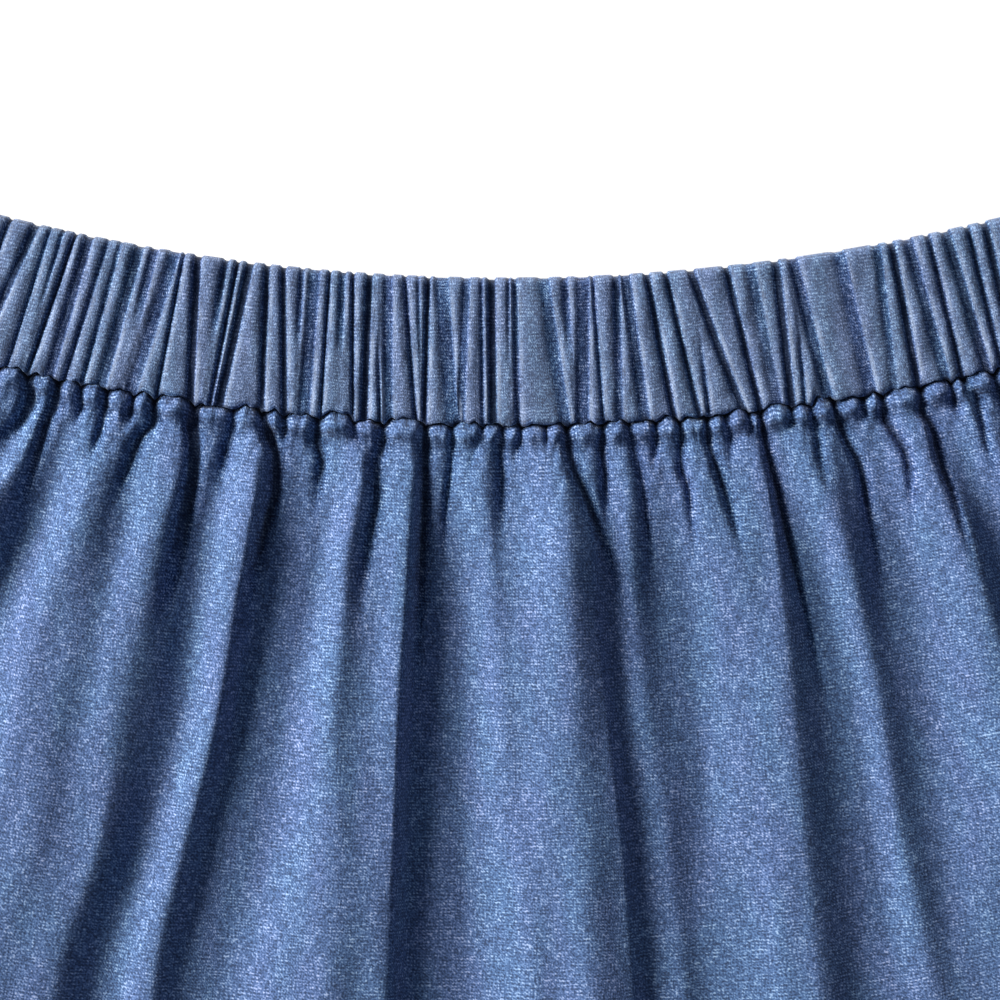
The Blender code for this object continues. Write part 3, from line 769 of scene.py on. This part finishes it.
# %% [markdown]
# The band's lower edge swings with the panel's knuckles, and its folded top edge runs on under
# it. Its mark is 1 on a pleat and more on a rim, which is a painted highlight. It is 0 in a groove
# and low beside the seam, where the band is painted navy as painted shade.

# %% Shape of the waistband's front
SWING_FROM, SWING_OVER = 22 * MM, 18 * MM
FULL_DEPTH = 2.8 * MM
CLOTH_GATHERED = 1.7


def front_band():
    """The gathered band as a grid of points, cloth coordinates and its mark of wear, painted shade
    and painted highlight.
    """
    top = across_pleats(band_table[:, 0], WAIST_RADIUS)
    seam = across_pleats(band_table[:, 1], SEAM_RADIUS)
    share = np.clip(BAND_ROWS / BAND_HEIGHT, 0, 1)[:, None]
    angle = (1 - share) * top + share * seam
    down = BAND_ROWS[:, None]
    radius = WAIST_RADIUS + down + 0 * angle
    depth, dome, highlight_rim = band_grooves(angle, radius, share)
    pleat = 1 - np.clip(depth / FULL_DEPTH, 0, 1)
    height = band_height(down, angle, radius, depth, dome, pleat)
    patchy = np.clip(0.6 + 0.6 * soft_noise(angle * radius, down, 9 * MM, 14 * MM), 0, 1.3)
    # Painted shade along the seam's edge, and a painted highlight on each pleat's rim, on top of the
    # pleat's wear
    painted_seam_shade = 0.5 * patchy * bell(BAND_HEIGHT - down, 0, SEAM_SHADE_REACH)
    wear_shade_highlight = np.clip(pleat + 1.5 * highlight_rim * patchy * (0.45 + 0.55 * share) - painted_seam_shade, 0, 2)
    # The edge swings with the knuckles, and steps in more on a pleat than in a groove
    towards_seam = np.clip((down - SWING_FROM) / SWING_OVER, 0, 1) ** 2
    notch = (0.35 - 0.65 * pleat) * MM * np.exp(-np.clip(down, 0, None) / (2 * MM))
    radius = radius + seam_scallop(angle[-1]) * towards_seam + notch
    angle, radius, height = rolled(angle, radius, height, BAND + GAP)
    angle = np.concatenate([angle[:1], angle[:1], angle])
    radius = np.concatenate([radius[:1] + 6 * MM, radius[:1] + 0.5 * MM, radius])
    height = np.concatenate([height[:1], height[:1] - 0.1 * MM, height])
    down = np.concatenate([[[-8 * MM], [-2 * MM]], down])
    cloth = np.stack(
        [angle * SEAM_RADIUS * CLOTH_GATHERED, np.broadcast_to(0.3 - down, angle.shape)], axis=-1
    )
    wear_shade_highlight = widened(wear_shade_highlight)
    return laid(angle, radius, height), cloth, np.concatenate([wear_shade_highlight[:2], wear_shade_highlight])


band_points, band_cloth, band_wear_shade_highlight = front_band()
band_front = grid_piece("waistband_front_cloth", band_points, band_cloth, {"wear_shade_highlight": band_wear_shade_highlight})

# %% [markdown]
# ## The back
# The back half lies flat on the table under the front. It is the same cut, its gathers pressed
# out, so its shell is a smooth skin round the flat solid, closed at the hem and the sides.

# %% Back shells


def flat_shell(name, inner, outer, thick, returns, columns):
    """A flat strip of the fan lying on the table, its two edges turned up and back over it."""
    across = np.linspace(-HALF_FAN, HALF_FAN, columns)
    turns = np.linspace(0, np.pi, 7)[1:-1]
    soft = thick / 2
    loop_radius = np.concatenate([
        [inner + soft + returns[0]],
        inner + soft - soft * np.sin(turns),
        np.linspace(inner + soft, outer - soft, 24),
        outer - soft + soft * np.sin(turns),
        [outer - soft - returns[1]],
    ])
    loop_height = np.concatenate([
        [thick],
        soft + soft * np.cos(turns),
        np.zeros(24),
        soft - soft * np.cos(turns),
        [thick],
    ])
    angle = np.broadcast_to(across, (len(loop_radius), columns))
    radius = np.broadcast_to(loop_radius[:, None], angle.shape)
    height = np.broadcast_to(loop_height[:, None], angle.shape)
    angle, radius, height = rolled(angle, radius, height, thick)
    points = laid(angle, radius, height)[::-1]
    cloth = np.stack([angle * (inner + outer) / 2 * 1.2, -radius], axis=-1)[::-1]
    return grid_piece(name, points, cloth, {"wear_shade_highlight": np.full(angle.shape, 0.6)})


back = flat_shell(
    "back_panel_cloth", SEAM_RADIUS + GAP, HEM_RADIUS, CLOTH, (4 * MM, 22 * MM), 200
)
band_back = flat_shell(
    "waistband_back_cloth", WAIST_RADIUS, SEAM_RADIUS, BAND, (4 * MM, 4 * MM), 160
)

# %% [markdown]
# ## The hem's stitching
# A row of lockstitches holds the turned hem. A stitch is a short rounded thread that dips into
# the cloth at both ends. All of them are one grid copied to every place at once.

# %% Stitches along the hem
STITCH = 3.0 * MM
STITCH_GAP = 0.9 * MM
STITCH_RADIUS = 0.28 * MM
STITCH_ROW = PANEL_LENGTH - HEM_TURN + 2.6 * MM


def hem_stitches():
    """Stitch i is a tube of 5 rings round an arc of the hem; its half width is r sqrt(1 - s^4)."""
    row_radius = SEAM_RADIUS + STITCH_ROW
    count = int(2 * HALF_FAN * row_radius / (STITCH + STITCH_GAP)) - 1
    middle = (np.arange(count) - (count - 1) / 2) * (STITCH + STITCH_GAP) / row_radius
    s = np.linspace(-1, 1, 5)[None, :, None]
    turn = np.linspace(0, 2 * np.pi, 7)[None, None, :-1]
    thick = STITCH_RADIUS * np.sqrt(1 - 0.93 * s ** 4)
    angle = middle[:, None, None] + s * STITCH / 2 / row_radius + 0 * turn
    row = int(np.argmin(abs(ROWS_BELOW - STITCH_ROW)))
    on_cloth = np.interp(angle, np.arctan2(points[row, :, 0], APEX_Y - points[row, :, 1]),
                         points[row, :, 2])
    radius = row_radius + thick * np.cos(turn) + 0 * angle
    height = on_cloth + 0.2 * MM - 0.25 * MM * s ** 2 + thick * np.sin(turn)
    return laid(angle, radius, height)


def tubes_piece(name, rings):
    """Tubes given as (tube, ring, corner, 3) points, as one mesh with closed ends."""
    tubes, count, corners = rings.shape[:3]
    index = np.arange(tubes * count * corners).reshape(tubes, count, corners)
    after = np.roll(index, -1, axis=2)
    sides = np.stack([index[:, :-1], index[:, 1:], after[:, 1:], after[:, :-1]], axis=-1)
    ends = np.concatenate([index[:, 0, :], index[:, -1, ::-1]])
    mesh = bpy.data.meshes.new(name)
    faces = sides.reshape(-1, 4).tolist() + ends.tolist()
    mesh.from_pydata(rings.reshape(-1, 3).tolist(), [], faces)
    mesh.shade_smooth()
    print(name, tubes, "stitches")
    return new_object(name, mesh)


stitches = tubes_piece("hem_stitches", hem_stitches())

# %% [markdown]
# ## Colours and nodes
# Colours are picked as sRGB hex values, as a picture shows them, and a shader needs them linear.
# One function adds any node, so that a material reads as a list of its steps.

# %% Colours and nodes


def linear(hex_colour):
    """An sRGB hex colour as linear red, green, blue and alpha."""
    parts = [int(hex_colour[i:i + 2], 16) / 255 for i in (0, 2, 4)]
    return [p / 12.92 if p <= 0.04045 else ((p + 0.055) / 1.055) ** 2.4 for p in parts] + [1.0]


def add(tree, kind, inputs=None, output=0, stops=(), **settings):
    """Adds a node and returns one of its outputs. Inputs are values or links for its sockets,
    stops are (place, hex colour) for a colour ramp, and settings are the node's own values."""
    node = tree.nodes.new(kind)
    for name, value in settings.items():
        setattr(node, name, value)
    for socket, value in (inputs or {}).items():
        if isinstance(value, bpy.types.NodeSocket):
            tree.links.new(value, node.inputs[socket])
        else:
            node.inputs[socket].default_value = value
    if stops:
        elements = node.color_ramp.elements
        while len(elements) < len(stops):
            elements.new(0.5)
        for element, (place, colour) in zip(elements, stops):
            element.position = place
            element.color = linear(colour)
    return node.outputs[output]


MATH, MIX, RAMP = "ShaderNodeMath", "ShaderNodeMix", "ShaderNodeValToRGB"
print("mid blue, linear:", [round(part, 3) for part in linear("546e99")])

# %% [markdown]
# ## Denim
# This is light cotton denim: indigo warp threads run down the cloth, undyed weft threads cross
# them, and washing has faded both unevenly. Close up the eye sees pale and dark flecks side by
# side, and faint ribs across them. The flecks are noise stretched along the threads: weft flecks
# about 3 mm long and 0.6 mm thick, warp flecks 2.5 mm long, and round ones of 0.6 mm. The real
# weave repeats every 0.58 mm, finer than the picture shows, so its ribs are drawn 0.95 mm apart.

# %% Threads of the weave
RIB_TURNS = 2 * math.pi / (0.95 * MM)
COLUMN_TURNS = 2 * math.pi / (1.1 * MM)
RIB_WANDER = 7.0


def streaks(tree, cloth, per_m_across, per_m_down, detail=1.0):
    """Soft noise on the cloth's own coordinates, with this many flecks a metre each way."""
    stretched = add(tree, "ShaderNodeMapping", {
        "Vector": cloth, "Scale": (per_m_across, per_m_down, 1),
    })
    return add(tree, "ShaderNodeTexNoise", {
        "Vector": stretched, "Scale": 1.0, "Detail": detail, "Roughness": 0.6,
    }, output="Fac", noise_dimensions="2D")


def ribs(tree, cloth):
    """sin(rib) + sin(rib + column): rows of the weave and its diagonals, let wander a little."""
    place = add(tree, "ShaderNodeSeparateXYZ", {"Vector": cloth}).node.outputs
    wander = add(tree, MATH, {0: streaks(tree, cloth, 160, 160), 1: RIB_WANDER},
                 operation="MULTIPLY")
    rib = add(tree, MATH, {0: place["Y"], 1: RIB_TURNS, 2: wander}, operation="MULTIPLY_ADD")
    column = add(tree, MATH, {0: place["X"], 1: COLUMN_TURNS, 2: wander}, operation="MULTIPLY_ADD")
    slant = add(tree, MATH, {0: rib, 1: column})
    waves = [add(tree, MATH, {0: turn}, operation="SINE") for turn in (rib, slant)]
    return add(tree, MATH, {0: waves[0], 1: waves[1]})


# %% [markdown]
# A material starts from the values of its finish. Denim is matt, with the thin sheen of cotton
# fuzz at grazing angles.

# %% Finish of a material
DENIM_FINISH = {
    "Roughness": 0.88, "IOR": 1.5, "Specular IOR Level": 0.25,
    "Sheen Weight": 0.12, "Sheen Roughness": 0.5,
}


def new_material(name, finish):
    """A material with these values on its shader's own sockets."""
    material = bpy.data.materials.new(name)
    material.use_nodes = True
    shader = material.node_tree.nodes["Principled BSDF"]
    for socket, value in finish.items():
        shader.inputs[socket].default_value = value
    return material, material.node_tree, shader


# %% [markdown]
# The flecks add up to one grain, which picks the colour from dark to pale indigo and also stands
# up as a faint bump. A slow tint drifts between violet and green-blue, as indigo fades. Open
# cloth is worn a little paler, rims get a painted highlight, and creases, grooves and the seam
# are painted nearly navy as painted shade.

# %% Denim
GRAIN_SPREAD, GRAIN_MIDDLE, UNEVEN = 3.0, 0.485, 0.17
DRIFT_STOPS = [(0.36, "f6f2ff"), (0.64, "e9fcff")]


def denim(name, stops, painted_shade_colour, wear_and_highlight_colour):
    """Washed cotton denim: flecks both ways, faint ribs, wear, painted highlights and painted shade.
    """
    material, tree, shader = new_material(name, DENIM_FINISH)
    cloth = add(tree, "ShaderNodeUVMap", output="UV", uv_map="cloth")
    weft = streaks(tree, cloth, 360, 1700)
    warp = streaks(tree, cloth, 1800, 400)
    fleck = streaks(tree, cloth, 1600, 1600)
    blotch = streaks(tree, cloth, 250, 200, 2.0)
    grain = 0.0
    for part, weight in ((weft, 0.30), (warp, 0.26), (fleck, 0.38), (ribs(tree, cloth), 0.040)):
        grain = add(tree, MATH, {0: part, 1: weight, 2: grain}, operation="MULTIPLY_ADD")
    tone = add(tree, MATH, {0: blotch, 1: UNEVEN, 2: grain}, operation="MULTIPLY_ADD")
    # The spread turns about the mean of grain and blotch, 0.5 and half of UNEVEN
    shift = GRAIN_MIDDLE - GRAIN_SPREAD * (0.5 + UNEVEN / 2)
    spread = add(tree, MATH, {0: tone, 1: GRAIN_SPREAD, 2: shift}, operation="MULTIPLY_ADD",
                 use_clamp=True)
    colour = add(tree, RAMP, {"Fac": spread}, stops=stops)
    drift = add(tree, RAMP, {"Fac": streaks(tree, cloth, 60, 22, 2.0)}, stops=DRIFT_STOPS)
    colour = add(tree, MIX, {"Factor": 1.0, 6: colour, 7: drift}, output=2,
                 data_type="RGBA", blend_type="MULTIPLY")
    wear_shade_highlight = add(tree, "ShaderNodeAttribute", output="Fac", attribute_name="wear_shade_highlight")
    # Wear and painted highlight take 0.55 of what the mark has over 0.55; painted shade is 0.75 less
    # 1.8 of the mark
    wear_and_painted_highlight = add(tree, MATH, {0: wear_shade_highlight, 1: 0.55, 2: -0.55 ** 2}, operation="MULTIPLY_ADD",
               use_clamp=True)
    fleck = add(tree, MATH, {0: fleck, 1: 0.1})
    wear_and_painted_highlight = add(tree, MATH, {0: wear_and_painted_highlight, 1: fleck}, operation="MULTIPLY")
    painted_shade_mask = add(tree, MATH, {0: wear_shade_highlight, 1: -1.8, 2: 0.75}, operation="MULTIPLY_ADD",
                  use_clamp=True)
    # Mix in the pale wear and painted highlight, then the navy painted shade
    for share, over in ((wear_and_painted_highlight, wear_and_highlight_colour), (painted_shade_mask, painted_shade_colour)):
        colour = add(tree, MIX, {"Factor": share, 6: colour, 7: linear(over)}, output=2,
                     data_type="RGBA")
    tree.links.new(colour, shader.inputs["Base Color"])
    bump = add(tree, "ShaderNodeBump", {"Height": grain, "Strength": 0.4, "Distance": 0.0005},
               output="Normal")
    tree.links.new(bump, shader.inputs["Normal"])
    return material


# %% [markdown]
# The band is a little darker than the panels, and its rims carry a painted highlight.

# %% Denim of the panels and of the band
PANEL_STOPS = [(0.0, "0b2041"), (0.35, "304a74"), (0.62, "546e99"), (1.0, "aabad6")]
BAND_STOPS = [(0.0, "0a1f44"), (0.35, "2b456c"), (0.62, "4e6892"), (1.0, "a0b2d0")]
# The navy is painted shade in creases, grooves and at the seam; the pale colour is wear and painted
# highlight
panel_denim = denim("washed_denim", PANEL_STOPS, painted_shade_colour="06122a", wear_and_highlight_colour="7c98c6")
band_denim = denim("washed_denim_band", BAND_STOPS, painted_shade_colour="07142c", wear_and_highlight_colour="a5b6d2")
for piece in (front, back):
    piece.data.materials.append(panel_denim)
for piece in (band_front, band_back):
    piece.data.materials.append(band_denim)
print("nodes in a denim:", len(panel_denim.node_tree.nodes))

# %% [markdown]
# The stitches are mercerised cotton sewing thread, smoother than the cloth. Its twist shows as
# fine light and dark flecks.

# %% Sewing thread
THREAD_STOPS = [(0.3, "4b6a98"), (0.7, "a3b9da")]
thread, thread_tree, thread_shader = new_material(
    "cotton_sewing_thread", {"Roughness": 0.6, "IOR": 1.5}
)
thread_place = add(thread_tree, "ShaderNodeTexCoord", output="Object")
twist = add(thread_tree, "ShaderNodeTexNoise", {
    "Vector": thread_place, "Scale": 2500.0, "Detail": 1.0,
}, output="Fac")
thread_colour = add(thread_tree, RAMP, {"Fac": twist}, stops=THREAD_STOPS)
thread_tree.links.new(thread_colour, thread_shader.inputs["Base Color"])
stitches.data.materials.append(thread)

# %% [markdown]
# ## Attaching the pieces
# Every piece rides on the one body and stands for its solid, which is hidden.

# %% Bodies
# Each panel is cut 0.54 m wide at the waist, 0.93 m at the hem and 0.92 m long
for piece, node, slot in (
    (front, "front_panel", "denim"),
    (back, "back_panel", "denim"),
    (band_front, "waistband_front", "waistband_denim"),
    (band_back, "waistband_back", "waistband_denim"),
):
    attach(piece, "root")
    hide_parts(node)
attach(stitches, "root")

# %% [markdown]
# ## Floor, light and camera
# The skirt lies on a white paper table. One large soft lamp stands low at the upper left, so left
# slopes are bright and right slopes fall into shade, and a pale surround fills the shadows. The
# camera looks straight down on the middle of the waist.

# %% Floor and surround
FLOOR_REACH = 4
floor_mesh = bpy.data.meshes.new("floor")
floor_mesh.from_pydata(
    [(x * FLOOR_REACH, y * FLOOR_REACH, -GAP) for x, y in ((-1, -1), (1, -1), (1, 1), (-1, 1))],
    [], [(0, 1, 2, 3)],
)
floor = new_object("floor", floor_mesh)
paper, _, _ = new_material("white_paper", {"Base Color": linear("f6f6f6"), "Roughness": 0.9})
floor_mesh.materials.append(paper)

world = bpy.data.worlds.new("studio")
bpy.context.scene.world = world
world.use_nodes = True
surround = world.node_tree.nodes["Background"]
surround.inputs["Color"].default_value = linear("e4edff")
surround.inputs["Strength"].default_value = 0.19

# %% [markdown]
# The lamp is square, 1.6 m wide, slightly warm, and turned to the middle of the picture.

# %% Lamp
PICTURE_MIDDLE = (-0.0083, 0.3867, 0.006)
LAMP_PLACE = (-2.4, 1.6, 1.2)
lamp = bpy.data.lights.new("key", "AREA")
lamp.size = 1.6
lamp.energy = 245
lamp.color = linear("fffbf5")[:3]
key = new_object("key", lamp)
key.location = LAMP_PLACE
towards = Vector(PICTURE_MIDDLE) - Vector(LAMP_PLACE)
key.rotation_euler = towards.to_track_quat("-Z", "Y").to_euler()
key.visible_camera = False
print("lamp:", [round(turn, 2) for turn in key.rotation_euler])

# %% [markdown]
# The picture is 277.8 mm wide. The long lens keeps it nearly free of perspective, and the small
# turn is how far the skirt lies out of level in the photograph.

# %% Camera
CAMERA_LENS = 120
SENSOR = 36
PICTURE_WIDTH = 0.2778
PICTURE_TURN = math.radians(-0.62)
camera_data = bpy.data.cameras.new("camera")
camera_data.lens = CAMERA_LENS
camera_data.sensor_width = SENSOR
camera = new_object("camera", camera_data)
camera_height = PICTURE_WIDTH * CAMERA_LENS / SENSOR
camera.location = (PICTURE_MIDDLE[0], PICTURE_MIDDLE[1], PICTURE_MIDDLE[2] + camera_height)
camera.rotation_euler = (0, 0, PICTURE_TURN)
bpy.context.scene.camera = camera
bpy.context.scene.view_settings.view_transform = "Standard"
print("camera: %.0f mm above the waist" % (camera_height / MM))
